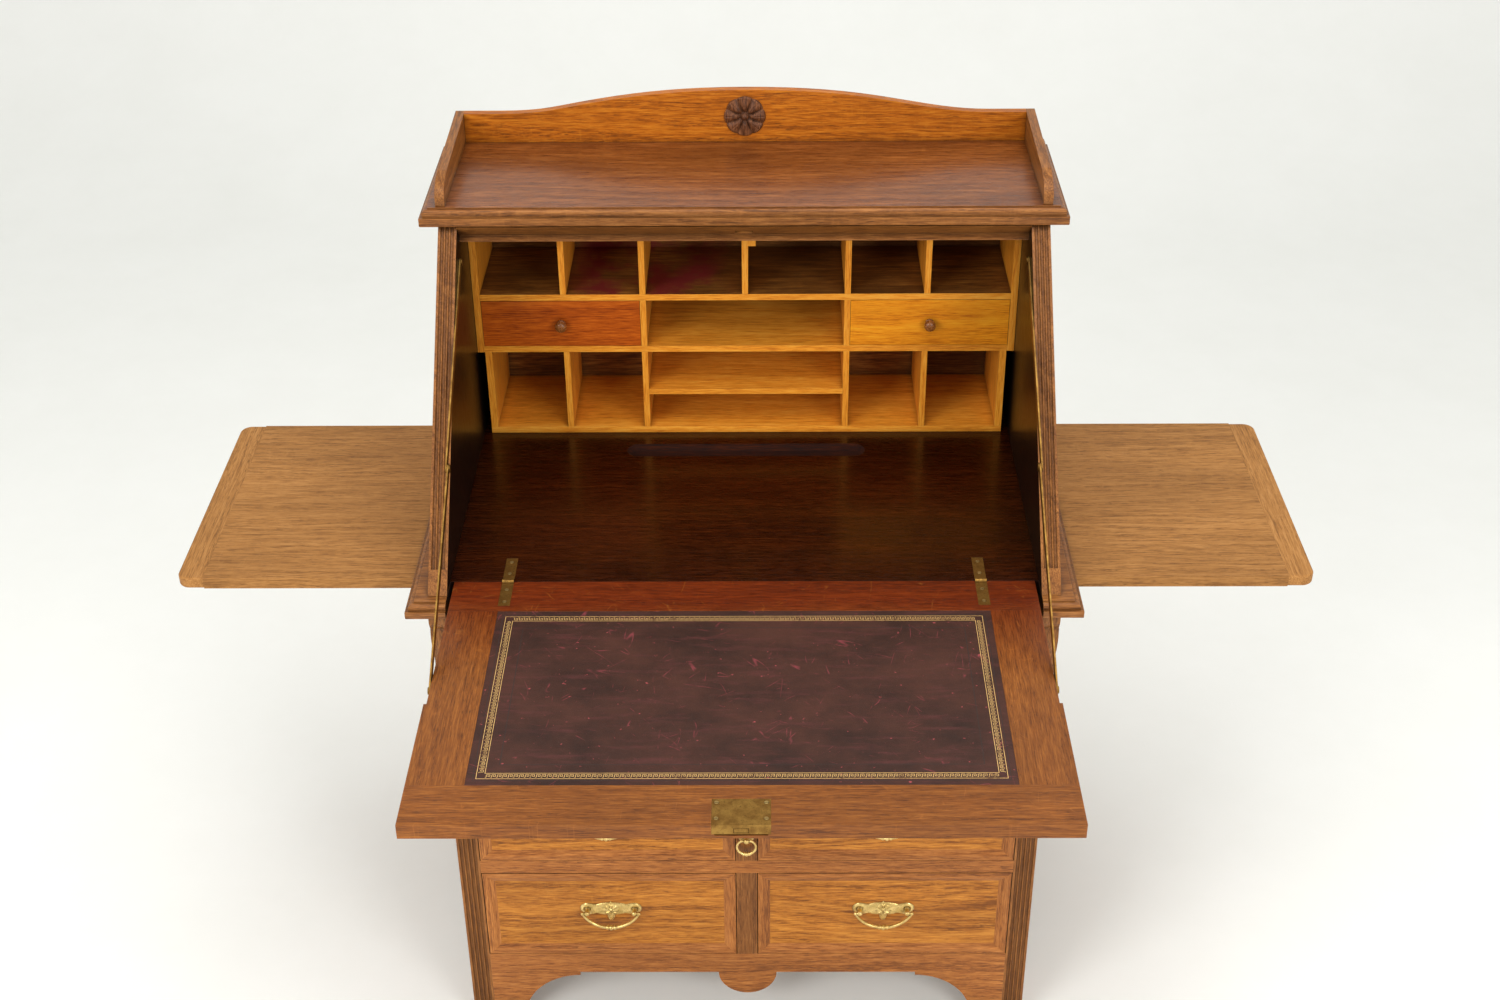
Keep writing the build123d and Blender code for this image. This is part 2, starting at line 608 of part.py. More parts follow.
# ---- stays ----
def stays():
    """Jointed brass stays: an upper arm on the case and a lower arm on the fall, side by side."""
    lane_upper = (SIDE_INNER - 0.3 - STAY_THICK, SIDE_INNER - 0.3)
    lane_lower = (lane_upper[0] - 0.3 - STAY_THICK, lane_upper[0] - 0.3)
    fall_point = STAY_ON_FALL
    reach = math.dist(STAY_PIVOT, fall_point)
    along = math.atan2(fall_point[1] - STAY_PIVOT[1], fall_point[0] - STAY_PIVOT[0])
    bend = math.acos((reach**2 + STAY_UPPER**2 - STAY_LOWER**2) / (2 * reach * STAY_UPPER))
    elbow = (STAY_PIVOT[0] + STAY_UPPER * math.cos(along + bend),
             STAY_PIVOT[1] + STAY_UPPER * math.sin(along + bend))

    def arm(lane, start, end, side):
        """A flat bar with round ends between two pivots, bored at the first."""
        base = min(side * lane[0], side * lane[1])
        middle = ((start[0] + end[0]) / 2, (start[1] + end[1]) / 2)
        angle = math.degrees(math.atan2(end[1] - start[1], end[0] - start[0]))
        with BuildSketch(side_plane(base)) as outline:
            with Locations(Location((middle[0], middle[1], 0), (0, 0, angle))):
                SlotCenterToCenter(math.dist(start, end), STAY_WIDTH)
            with Locations(start):
                Circle(2.05, mode=Mode.SUBTRACT)
        extrude(outline.sketch, amount=STAY_THICK)

    for name, side in (("left", -1), ("right", 1)):
        with BuildPart() as upper:
            arm(lane_upper, STAY_PIVOT, elbow, side)
        finish(upper, f"stay_upper_{name}")
        with BuildPart() as lower:
            arm(lane_lower, fall_point, elbow, side)
            inner = lane_lower[0]
            rod(sorted((side * (inner - 1.3), side * inner)), elbow[0], elbow[1], 5.0)
        finish(lower, f"stay_lower_{name}")
    with BuildPart() as case_rivets:
        for side in (-1, 1):
            rod(sorted((side * (lane_upper[0] - 0.2), side * (SIDE_INNER - 0.01))), *STAY_PIVOT, 2.0)
            rod(sorted((side * (lane_upper[0] - 1.7), side * (lane_upper[0] - 0.2))), *STAY_PIVOT, 4.5)
    finish(case_rivets, "stay_rivets_case")
    with BuildPart() as fall_rivets:
        for side in (-1, 1):
            neck = (side * (FALL_HALF - STAY_RECESS + 0.01), side * (lane_lower[1] + 0.2))
            head = (neck[1], side * (lane_lower[1] + 1.4))
            rod(sorted(neck), *fall_point, 2.0)
            rod(sorted(head), *fall_point, 4.5)
    finish(fall_rivets, "stay_rivets_fall")


# ---- side slides ----
def side_slides():
    """Pull-out leaves, each with a clamped end across the grain and a stop peg below."""
    y = (LEAF_FRONT, LEAF_FRONT + LEAF_DEPTH)
    z = (SLOT_BOTTOM + 0.3, SLOT_BOTTOM + 0.3 + LEAF_THICK)
    seam = LEAF_OUT - LEAF_END
    for name, side in (("left", -1), ("right", 1)):
        with BuildPart() as leaf:
            slab(sorted((side * (LEAF_OUT - LEAF_LENGTH), side * (seam - GAP))), y, z)
            button(side * PEG_OUT, sum(y) / 2, (z[0] - 10, z[0]), PEG_RADIUS - 0.5)
            slab(sorted((side * seam, side * LEAF_OUT)), y, z)
            corner = leaf.edges().filter_by(Axis.Z).group_by(Axis.X)[0 if side < 0 else -1]
            fillet(corner, 16)
            rim = leaf.faces().sort_by(Axis.X)[0 if side < 0 else -1].edges().filter_by(Axis.Y)
            fillet(rim, 3)
        finish(leaf, f"slide_{name}")


# ---- drawers of the lower case ----
def pull(x, z, name):
    """A brass drawer pull: shaped plate with two posts, and a bail that hangs between them."""
    face = CASE_FRONT + 3.5 - GAP
    post_x, bail_x, drop = 33.5, 40.0, 27.0
    plate_face = face - 1.6
    axle = plate_face - 9.0
    height = z + 8
    with BuildPart() as plate:
        with BuildSketch(front_plane(face, x, height)):
            with Locations((-post_x, 0), (post_x, 0)):
                Circle(10.5)
            with Locations((0, -1)):
                Ellipse(30, 12)
            with Locations((0, -10)):
                Ellipse(11, 12)
        extrude(amount=1.6)
        for side in (-1, 1):
            stud(x + side * post_x, (axle - 4, plate_face), height, 3.2)
            rod((x + side * post_x - 5, x + side * post_x + 5), axle, height, 1.95, Mode.SUBTRACT)
    finish(plate, f"pull_plate_{name}")
    radius = (bail_x**2 + drop**2) / (2 * drop)
    with BuildPart() as bail:
        with BuildLine(front_plane(axle, x, height)):
            ThreePointArc((-bail_x, 0), (0, -drop), (bail_x, 0))
        start = Plane(origin=place(x - bail_x, axle, height),
                      x_dir=(0, 1, 0), z_dir=(drop - radius, 0, -bail_x))
        with BuildSketch(start):
            Circle(2.1)
        sweep()
        for side in (-1, 1):
            with Locations(place(x + side * bail_x, axle, height)):
                Sphere(2.5)
            rod(sorted((x + side * (post_x - 3), x + side * bail_x)), axle, height, 1.85)
        for step, size in ((-5, 3.0), (0, 3.6), (5, 3.0)):
            rod((x + step - 1.8, x + step + 1.8), axle, height - drop, size)
    finish(bail, f"bail_{name}")


def drawers():
    """Three rows of two drawers. Each has a front with a sunk field, an open tray and a brass pull."""
    for level, (bottom, top) in zip(("bottom", "middle", "top"), ROWS):
        for name, side in (("left", -1), ("right", 1)):
            inner, outer = MUNTIN_HALF + DRAWER_GAP, POST_INNER - DRAWER_GAP
            x = sorted((side * inner, side * outer))
            z = (bottom + 0.6, top - DRAWER_GAP)
            front = (CASE_FRONT, CASE_FRONT + DRAWER_FRONT_THICK)
            middle, height = sum(x) / 2, sum(z) / 2
            with BuildPart() as drawer:
                drawer_box((x[0] + 2, x[1] - 2), front, CASE_BACK - BACK_THICK - 12, (z[0], z[1] - 10), 9, 8)
                slab(x, front, z)
                bevelled_field(middle, x[1] - x[0], height, z[1] - z[0], 17)
            finish(drawer, f"drawer_{level}_{name}")
            pull(middle, height, f"{level}_{name}")


def ring_pull():
    """The ring that hangs from a boss on the centre muntin of the middle row."""
    height, radius, wire = -407.5, 13.0, 2.2
    face = CASE_FRONT - GAP
    axle = face - 8.5
    with BuildPart() as plate:
        stud(0, (face - 1.6, face), height, 11)
        stud(0, (axle - 4.5, face - 1.6), height, 3.6)
        rod((-6, 6), axle, height, 1.95, Mode.SUBTRACT)
    finish(plate, "ring_plate")
    start = math.radians(60)
    edge_x, drop = radius * math.cos(start), radius * (1 + math.sin(start))
    with BuildPart() as ring:
        with BuildLine(front_plane(axle, 0, height)):
            ThreePointArc((-edge_x, 0), (0, -drop), (edge_x, 0))
        with BuildSketch(Plane(origin=place(-edge_x, axle, height), x_dir=(0, 1, 0),
                               z_dir=(-math.sin(start), 0, -math.cos(start)))):
            Circle(wire)
        sweep()
        for side in (-1, 1):
            with Locations(place(side * edge_x, axle, height)):
                Sphere(wire + 0.3)
            rod(sorted((side * 2.0, side * edge_x)), axle, height, 1.85)
        for step, size in ((-4, 3.0), (0, 3.5), (4, 3.0)):
            rod((step - 1.6, step + 1.6), axle, height - drop, size)
    finish(ring, "ring")


waist_board()
upper_sides()
top_board()
gallery()
lower_sides()
front_posts()
corbels()
slide_bed()
slide_rails()
front_frame()
drawer_runners()
back_panels()
strike_rail()
pigeonholes()
small_drawers()
fall()
lock()
hinges()
stays()
side_slides()
drawers()
ring_pull()
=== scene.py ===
"""Looks of the slant fall-front bureau: oak, pine, leather and brass, and its cast and carved pieces."""

import math

import bpy
from mathutils import Matrix, Vector


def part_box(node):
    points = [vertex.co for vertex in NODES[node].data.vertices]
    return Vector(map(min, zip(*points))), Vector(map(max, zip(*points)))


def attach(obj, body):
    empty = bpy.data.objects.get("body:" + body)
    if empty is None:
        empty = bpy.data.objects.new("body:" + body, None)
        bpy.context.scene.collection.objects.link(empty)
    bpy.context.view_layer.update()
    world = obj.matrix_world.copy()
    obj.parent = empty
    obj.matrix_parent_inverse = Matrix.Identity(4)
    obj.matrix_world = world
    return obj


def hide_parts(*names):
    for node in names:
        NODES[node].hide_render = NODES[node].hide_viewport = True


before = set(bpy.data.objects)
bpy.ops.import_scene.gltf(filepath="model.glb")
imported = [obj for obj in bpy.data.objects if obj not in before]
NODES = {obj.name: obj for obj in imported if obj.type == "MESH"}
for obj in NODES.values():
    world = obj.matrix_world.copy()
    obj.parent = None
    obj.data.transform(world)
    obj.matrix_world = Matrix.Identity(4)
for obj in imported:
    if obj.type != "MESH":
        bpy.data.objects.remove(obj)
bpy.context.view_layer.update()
MM = 0.001
TOP_FACING = 0.5    # a face whose normal's z is over this looks up
DRAWER_FRONT = 20 * MM
BORDER_WIDTH = 20 * MM
CLAMP_WIDTH = 35 * MM
MIDDLE_HALF = 142 * MM
MUNTIN_HALF = 15 * MM
SCREW_SIZE = 6 * MM
ROWS = ("bottom", "middle", "top")
SIDES = ("left", "right")


# ---- node building ----
class Maker:
    """Builds one material's nodes with short calls. Every add() returns the node's first output."""

    def __init__(self, name):
        self.material = bpy.data.materials.new(name)
        self.material.use_nodes = True
        self.tree = self.material.node_tree
        self.shader = self.tree.nodes["Principled BSDF"]

    def node(self, kind, inputs=(), **settings):
        node = self.tree.nodes.new("ShaderNode" + kind)
        for key, value in settings.items():
            setattr(node, key, value)
        for key, value in dict(inputs).items():
            if isinstance(value, bpy.types.NodeSocket):
                self.tree.links.new(value, node.inputs[key])
            else:
                node.inputs[key].default_value = value
        return node

    def add(self, kind, inputs=(), **settings):
        return self.node(kind, inputs, **settings).outputs[0]

    def math(self, operation, first, second=0.0, clamp=False):
        return self.add("Math", {0: first, 1: second}, operation=operation, use_clamp=clamp)

    def mix(self, amount, first, second, blend="MIX"):
        node = self.node("Mix", data_type="RGBA", blend_type=blend)
        for key, value in (("Factor", amount), ("A", first), ("B", second)):
            sockets = [s for s in node.inputs if s.name == key and s.enabled]
            if isinstance(value, bpy.types.NodeSocket):
                self.tree.links.new(value, sockets[0])
            else:
                sockets[0].default_value = value if key == "Factor" else (*value, 1.0)
        return [s for s in node.outputs if s.enabled][0]

    def span(self, value, low, high, to_low=0.0, to_high=1.0):
        """Maps low..high to to_low..to_high, held at both ends."""
        return self.add("MapRange", {0: value, 1: low, 2: high, 3: to_low, 4: to_high})

    def noise(self, vector, detail=3.0, rough=0.55, distortion=0.0):
        return self.add("TexNoise", {"Vector": vector, "Scale": 1.0, "Detail": detail,
                                     "Roughness": rough, "Distortion": distortion})

    def place(self, along="X", offset=(0.0, 0.0, 0.0)):
        """Object coordinates in metres, turned so that the first one runs along the grain."""
        where = self.node("SeparateXYZ", {0: self.coordinates()})
        order = {"X": (0, 1, 2), "Y": (1, 0, 2), "Z": (2, 0, 1)}[along]
        turned = self.add("CombineXYZ", {k: where.outputs[order[k]] for k in range(3)})
        return self.add("VectorMath", {0: turned, 1: offset}, operation="ADD")

    def coordinates(self):
        return self.node("TexCoord").outputs["Object"]

    def stretch(self, vector, scale):
        return self.add("VectorMath", {0: vector, 1: scale}, operation="MULTIPLY")

    def soft_edges(self, radius):
        return self.add("Bevel", {"Radius": radius}, samples=4)

    def corner_shade_and_patina(self, distance):
        """1 in the open, less in corners and grooves: painted shade on wood, patina in the hollows of brass.
        """
        node = self.node("AmbientOcclusion", {"Distance": distance}, samples=6)
        return node.outputs["AO"]

    def finish(self, color, roughness, height=None, bump=0.2, distance=0.0004, edge=0.0008, **constants):
        links = self.tree.links
        for socket, value in (("Base Color", color), ("Roughness", roughness)):
            if isinstance(value, bpy.types.NodeSocket):
                links.new(value, self.shader.inputs[socket])
            else:
                self.shader.inputs[socket].default_value = value
        normal = self.soft_edges(edge) if edge else None
        if height is not None:
            inputs = {"Height": height, "Strength": bump, "Distance": distance}
            if normal is not None:
                inputs["Normal"] = normal
            normal = self.add("Bump", inputs)
        if normal is not None:
            links.new(normal, self.shader.inputs["Normal"])
        for socket, value in constants.items():
            self.shader.inputs[socket.replace("_", " ")].default_value = value
        return self.material


# ---- materials ----
def scaled(color, factor):
    """A colour made lighter or darker, held at white."""
    return tuple(min(1.0, factor * c) for c in color)


def wood(name, dark, mid, light, along="X", offset=(0.0, 0.0, 0.0), figure=1.0, rings=150.0, flecks=0.0,
         pores=1.0, roughness=0.42, tone=0.35, corner=0.6, worn=0.25, marks=0.0, coat=0.0, bump=0.25,
         tint=None):
    """Oak or pine: growth rings, fine fibres, open pores, ray flecks, painted shade in corners and worn
    edges.
    """
    m = Maker(name)
    p = m.place(along, offset)
    slow = m.noise(m.stretch(p, (3.0, 11.0, 11.0)), detail=3.0, rough=0.6)
    warp = m.noise(m.stretch(p, (2.4, 9.0, 9.0)), detail=2.0, rough=0.45)
    across = m.node("SeparateXYZ", {0: p})
    line = m.math("ADD", across.outputs[1], m.math("MULTIPLY", across.outputs[2], 0.83))
    bent = m.math("ADD", line, m.math("MULTIPLY", warp, 0.10 * figure))
    ring = m.noise(m.add("CombineXYZ", {0: m.math("MULTIPLY", across.outputs[0], 1.1),
                                        1: m.math("MULTIPLY", bent, rings)}), detail=2.0, rough=0.6)
    fibre = m.noise(m.stretch(p, (38.0, 620.0, 620.0)), detail=4.0, rough=0.65)
    coarse = m.noise(m.stretch(p, (8.0, 170.0, 170.0)), detail=3.0, rough=0.6)
    ring_share, coarse_share, contrast = 0.4 * figure, 0.3, 0.19
    grain = m.math("ADD", m.math("MULTIPLY", ring, ring_share),
                   m.math("ADD", fibre, m.math("MULTIPLY", coarse, coarse_share)))
    middle = (ring_share + 1.0 + coarse_share) / 2
    grain = m.span(grain, middle - contrast, middle + contrast)
    color = m.mix(m.span(grain, 0.0, 0.5), dark, mid)
    color = m.mix(m.span(grain, 0.5, 1.0), color, light)
    if flecks:
        ray = m.noise(m.stretch(p, (110.0, 30.0, 30.0)), detail=2.0, distortion=1.2)
        where = m.noise(m.stretch(p, (3.0, 8.0, 8.0)), detail=1.0)
        ray = m.math("MULTIPLY", m.span(ray, 0.58, 0.68), m.span(where, 0.45, 0.65))
        color = m.mix(m.math("MULTIPLY", ray, flecks), color, light)
    pore = m.noise(m.stretch(p, (95.0, 1400.0, 1400.0)), detail=1.0)
    early = m.span(ring, 0.55, 0.40)
    pore = m.math("MULTIPLY", m.span(pore, 0.56, 0.66),
                  m.math("ADD", m.math("MULTIPLY", early, 0.7), 0.3))
    pore = m.math("MULTIPLY", pore, pores, clamp=True)
    color = m.mix(m.math("MULTIPLY", pore, 0.8), color, scaled(dark, 0.5))
    color = m.mix(m.span(slow, 0.40, 0.68, 0.0, tone), color, scaled(dark, 0.75))
    if corner:
        # painted shade: the wood is darkened in its corners and grooves
        shade = m.span(m.corner_shade_and_patina(0.010), 0.25, 0.97, corner, 0.0)
        color = m.mix(shade, color, scaled(dark, 0.3))
    if worn:
        color = m.mix(m.math("MULTIPLY", edge_wear(m), worn), color, scaled(light, 1.25))
    if tint:
        color = tint(m, color)
    if marks:
        color = scratches(m, p, color, scaled(light, 1.3), marks)
    rough = m.span(fibre, 0.3, 0.7, roughness - 0.06, roughness + 0.10)
    height = m.math("SUBTRACT", m.math("MULTIPLY", fibre, 0.35), m.math("MULTIPLY", pore, 0.9))
    return m.finish(color, rough, height, bump, 0.0005, Coat_Weight=coat, Coat_Roughness=0.18,
                    Specular_IOR_Level=0.2)


def reddened(m, color):
    """Old polish, dark red by the hinges, that has worn off towards the writer."""
    bare, full = -0.235, -0.085
    where = m.node("SeparateXYZ", {0: m.coordinates()}).outputs[1]
    ragged = m.noise(m.stretch(m.coordinates(), (9.0, 5.0, 5.0)), detail=4.0, rough=0.6)
    depth = m.math("ADD", where, m.math("MULTIPLY", m.math("SUBTRACT", ragged, 0.5), 0.09))
    kept = m.span(depth, bare, full)
    return m.mix(kept, color, (0.58, 0.25, 0.11), blend="MULTIPLY")


def ink_stained(m, color):
    """Red ink that ran over the shelf under the upper pigeonholes, left of the middle."""
    where = m.node("SeparateXYZ", {0: m.coordinates()}).outputs
    across = m.math("MULTIPLY", m.span(where[0], -0.262, -0.215),
                    m.span(where[0], -0.012, -0.060))
    blot = m.noise(m.stretch(m.coordinates(), (13.0, 11.0, 13.0)), detail=4.0, rough=0.65)
    run = m.math("MULTIPLY", across, m.span(blot, 0.44, 0.60))
    upper = m.span(where[2], 0.955, 0.968)
    return m.mix(m.math("MULTIPLY", m.math("MULTIPLY", run, upper), 0.85), color, (0.185, 0.012, 0.018))


def edge_wear(m):
    """1 along sharp outer edges, 0 on flats."""
    geometry = m.node("NewGeometry")
    soft = m.add("Bevel", {"Radius": 0.0022}, samples=6)
    dot = m.node("VectorMath", {0: soft, 1: geometry.outputs["Normal"]}, operation="DOT_PRODUCT")
    patchy = m.noise(m.stretch(m.coordinates(), (40.0, 40.0, 40.0)), detail=3.0)
    hard = m.span(dot.outputs["Value"], 0.995, 0.86)
    return m.math("MULTIPLY", hard, m.span(patchy, 0.35, 0.6), clamp=True)


def scratches(m, p, color, tint, amount):
    """A few long thin strokes in several directions."""
    for turn, threshold in ((0.35, 0.008), (0.9, 0.007), (1.7, 0.008), (2.5, 0.007)):
        spun = m.add("VectorRotate", {"Vector": p, "Angle": turn}, rotation_type="Z_AXIS")
        wobble = m.noise(m.stretch(spun, (6.0, 34.0, 1.0)), detail=1.0)
        seam = m.math("ABSOLUTE", m.math("SUBTRACT", wobble, 0.5))
        broken = m.noise(m.stretch(spun, (34.0, 22.0, 1.0)), detail=3.0)
        stroke = m.math("MULTIPLY", m.span(seam, threshold, 0.0), m.span(broken, 0.57, 0.66))
        color = m.mix(m.math("MULTIPLY", stroke, amount), color, tint)
    return color


def leather_material():
    """Pebbled dark leather, faded in streaks and scuffed through to its red dye."""
    m = Maker("leather_worn")
    p = m.coordinates()
    pebbles = m.node("TexVoronoi", {"Vector": p, "Scale": 700.0}, feature="DISTANCE_TO_EDGE")
    cell = pebbles.outputs["Distance"]
    crease = m.noise(m.stretch(p, (240.0, 240.0, 240.0)), detail=4.0)
    cloud = m.noise(m.stretch(p, (9.0, 12.0, 9.0)), detail=5.0, rough=0.7)
    base = m.mix(m.span(cloud, 0.35, 0.65), (0.027, 0.0095, 0.0060), (0.066, 0.0215, 0.0130))
    streak = m.noise(m.stretch(p, (16.0, 90.0, 9.0)), detail=4.0, rough=0.7)
    base = m.mix(m.span(streak, 0.52, 0.72, 0.0, 0.45), base, (0.120, 0.030, 0.030))
    chip = m.noise(m.stretch(p, (120.0, 150.0, 9.0)), detail=3.0, rough=0.6)
    base = m.mix(m.span(chip, 0.69, 0.73, 0.0, 0.8), base, (0.42, 0.075, 0.085))
    base = scratches(m, p, base, (0.30, 0.050, 0.065), 0.6)
    base = m.mix(m.span(cell, 0.0, 0.06, 0.35, 0.0), base, (0.015, 0.005, 0.004))
    height = m.math("ADD", m.span(cell, 0.0, 0.12), m.math("MULTIPLY", crease, 0.6))
    rough = m.span(cloud, 0.3, 0.7, 0.50, 0.62)
    return m.finish(base, rough, height, 0.30, 0.0003, edge=0.0, Specular_IOR_Level=0.3)


def gilt_material():
    """Gold leaf pressed into the leather, worn through in places."""
    m = Maker("gilt_tooling")
    worn = m.noise(m.stretch(m.coordinates(), (60.0, 60.0, 60.0)), detail=5.0, rough=0.7)
    color = m.mix(m.span(worn, 0.54, 0.66), (0.78, 0.50, 0.18), (0.34, 0.19, 0.07))
    return m.finish(color, 0.42, edge=0.0, Metallic=0.35)


def blind_material():
    """Lines pressed into the leather without gold."""
    m = Maker("blind_tooling")
    worn = m.noise(m.stretch(m.coordinates(), (45.0, 45.0, 45.0)), detail=3.0)
    return m.finish(m.mix(worn, (0.010, 0.005, 0.004), (0.030, 0.014, 0.011)), 0.6, edge=0.0)


def brass(name, bright, dull, dark, shine):
    """Old brass: brown in the low places, brighter on what hands rub."""
    m = Maker(name)
    p = m.coordinates()
    cloud = m.noise(m.stretch(p, (70.0, 70.0, 70.0)), detail=5.0, rough=0.65)
    speck = m.noise(m.stretch(p, (520.0, 520.0, 520.0)), detail=3.0, rough=0.7)
    color = m.mix(m.span(cloud, 0.38, 0.62), bright, dull)
    color = m.mix(m.span(speck, 0.56, 0.72, 0.0, 0.7), color, dark)
    low = m.span(m.corner_shade_and_patina(0.004), 0.30, 0.95, 0.85, 0.0)
    color = m.mix(low, color, dark)
    rough = m.span(cloud, 0.3, 0.7, shine, shine + 0.18)
    return m.finish(color, rough, speck, 0.12, 0.0002, edge=0.0004, Metallic=0.92)


# Dark, middle and light of each wood, in linear colour.
OAK = ((0.105, 0.034, 0.0060), (0.250, 0.088, 0.0175), (0.380, 0.155, 0.0380))
GALLERY = ((0.1978, 0.0483, 0.0023), (0.4128, 0.1104, 0.0049), (0.5504, 0.1863, 0.0125))
TOP = ((0.0882, 0.0205, 0.0034), (0.1960, 0.0539, 0.0093), (0.3234, 0.1116, 0.0238))
FALL = ((0.1080, 0.0294, 0.0030), (0.2250, 0.0668, 0.0083), (0.3330, 0.1157, 0.0180))
DRAWER = ((0.1848, 0.0544, 0.0058), (0.4400, 0.1530, 0.0173), (0.5984, 0.2465, 0.0374))
BORDER = ((0.1560, 0.0444, 0.0084), (0.3600, 0.1224, 0.0240), (0.5280, 0.2064, 0.0504))
SLIDE = ((0.2009, 0.0827, 0.0201), (0.3708, 0.1675, 0.0445), (0.4738, 0.2332, 0.0742))
# Painted shade: near-black for the well floor and the pen groove, inside the case.
SHADED_WELL = ((0.0077, 0.0011, 0.0002), (0.0258, 0.0040, 0.0004), (0.0585, 0.0108, 0.0011))
# Painted shade: near-black for the inner faces of the upper sides, in the shade of the case.
SHADED_INNER = ((0.0013, 0.0006, 0.0004), (0.0037, 0.0018, 0.0011), (0.0080, 0.0037, 0.0022))
PINE = ((0.5040, 0.1455, 0.0099), (0.7980, 0.2910, 0.0225), (0.8925, 0.4171, 0.0540))
SHADED = ((0.080, 0.026, 0.0055), (0.240, 0.090, 0.0150), (0.420, 0.180, 0.0350))
CARVED = ((0.0360, 0.0126, 0.0054), (0.1350, 0.0468, 0.0180), (0.2880, 0.1116, 0.0432))
PLAIN = ((0.220, 0.110, 0.0450), (0.400, 0.230, 0.1050), (0.520, 0.330, 0.1700))
KNOB = ((0.100, 0.028, 0.0070), (0.260, 0.085, 0.0180), (0.420, 0.160, 0.0400))
SMALL_LEFT = ((0.220, 0.033, 0.0015), (0.460, 0.085, 0.0035), (0.620, 0.140, 0.0080))
SMALL_RIGHT = ((0.480, 0.130, 0.0045), (0.800, 0.270, 0.0090), (0.880, 0.380, 0.0190))


def make_materials():
    made = {}

    def add(name, colors, along, offset=(0.0, 0.0, 0.0), **settings):
        made[name] = wood(name, *colors, along, offset, **settings)

    for axis in "XYZ":
        add("oak_" + axis, OAK, axis, (0.3, 0.1, 0.7), flecks=0.3, coat=0.15, corner=0.95)
    for axis in "XY":
        add("fall_" + axis, FALL, axis, (1.1, 0.4, 0.2), figure=0.6, roughness=0.44, marks=0.3, coat=0.12,
            worn=0.35, tone=0.3)
        add("polish_" + axis, FALL, axis, (1.1, 0.4, 0.2), figure=0.6, roughness=0.40, marks=0.3, coat=0.2,
            worn=0.35, tone=0.3, tint=reddened)
        add("slide_" + axis, SLIDE, axis, (2.3, 0.8, 0.5), figure=0.7, flecks=0.25, roughness=0.62, tone=0.3)
    for axis in "XZ":
        add("pine_" + axis, PINE, axis, (0.9, 1.4, 0.6), rings=70.0, pores=0.25, roughness=0.48, tone=0.2,
            bump=0.08, coat=0.1)
        add("border_" + axis, BORDER, axis, (0.2, 0.6, 1.2), coat=0.15, corner=0.95)
    add("shaded_X", SHADED, "X", (1.9, 0.4, 1.6), figure=0.9, rings=70.0, pores=0.3, roughness=0.55, tone=0.7,
        bump=0.08, tint=ink_stained)
    for index, row in enumerate(ROWS):
        for other, side in enumerate(SIDES):
            offset = (0.7 * index, 0.31 * other, 0.47 * index + 0.2 * other)
            add(f"drawer_{row}_{side}", DRAWER, "X", offset, figure=1.3, rings=110.0, flecks=0.2, coat=0.12)
    add("gallery", GALLERY, "X", (0.6, 0.9, 1.7), flecks=0.5, tone=0.25, coat=0.1)
    add("top", TOP, "X", (3.1, 0.2, 0.9), figure=0.9, roughness=0.30, coat=0.35, marks=0.2, tone=0.6)
    # the well floor and the pen groove take painted shade
    add("well", SHADED_WELL, "X", (0.2, 0.9, 0.1), figure=0.7, roughness=0.26, worn=0.1, coat=0.4, marks=0.25,
        tone=0.5)
    add("groove", SHADED_WELL, "X", (0.2, 0.9, 0.1), roughness=0.9, worn=0.0, bump=0.0)
    # the inner faces of the upper sides take painted shade
    add("inner", SHADED_INNER, "Z", (0.8, 0.1, 0.4), figure=0.7, roughness=0.36, coat=0.25, worn=0.1)
    add("carved", CARVED, "Z", (0.1, 0.2, 0.3), figure=0.3, roughness=0.45, corner=0.9)
    add("plain", PLAIN, "Y", roughness=0.7, tone=0.3, worn=0.0)
    add("back", PLAIN, "Z", figure=0.8, roughness=0.75, tone=0.5, worn=0.0)
    add("knob", KNOB, "Y", figure=0.4, roughness=0.25, coat=0.5)
    for name, colors, offset in (("small_left", SMALL_LEFT, (0.1, 2.0, 0.3)),
                                 ("small_right", SMALL_RIGHT, (0.7, 1.0, 0.9))):
        add(name, colors, "X", offset, figure=1.2, rings=75.0, pores=0.2, roughness=0.40, coat=0.2)
    made["leather"] = leather_material()
    made["gilt"] = gilt_material()
    made["blind"] = blind_material()
    for name, bright, dull, dark, shine in (
            ("aged_brass", (0.34, 0.19, 0.044), (0.20, 0.098, 0.021), (0.060, 0.030, 0.008), 0.36),
            ("screw_brass", (0.62, 0.46, 0.18), (0.42, 0.28, 0.10), (0.060, 0.035, 0.012), 0.28),
            ("pull_brass", (0.86, 0.64, 0.25), (0.58, 0.40, 0.13), (0.070, 0.040, 0.012), 0.24)):
        made[name] = brass(name, bright, dull, dark, shine)
    return made


MATERIALS = make_materials()


def dress(node, names, choose=None):
    """Gives a CAD node its materials. choose(centre, normal) says which of them a face takes."""
    mesh = NODES[node].data
    mesh.materials.clear()
    for name in names:
        mesh.materials.append(MATERIALS[name])
    for polygon in mesh.polygons:
        polygon.material_index = choose(polygon.center, polygon.normal) if choose else 0


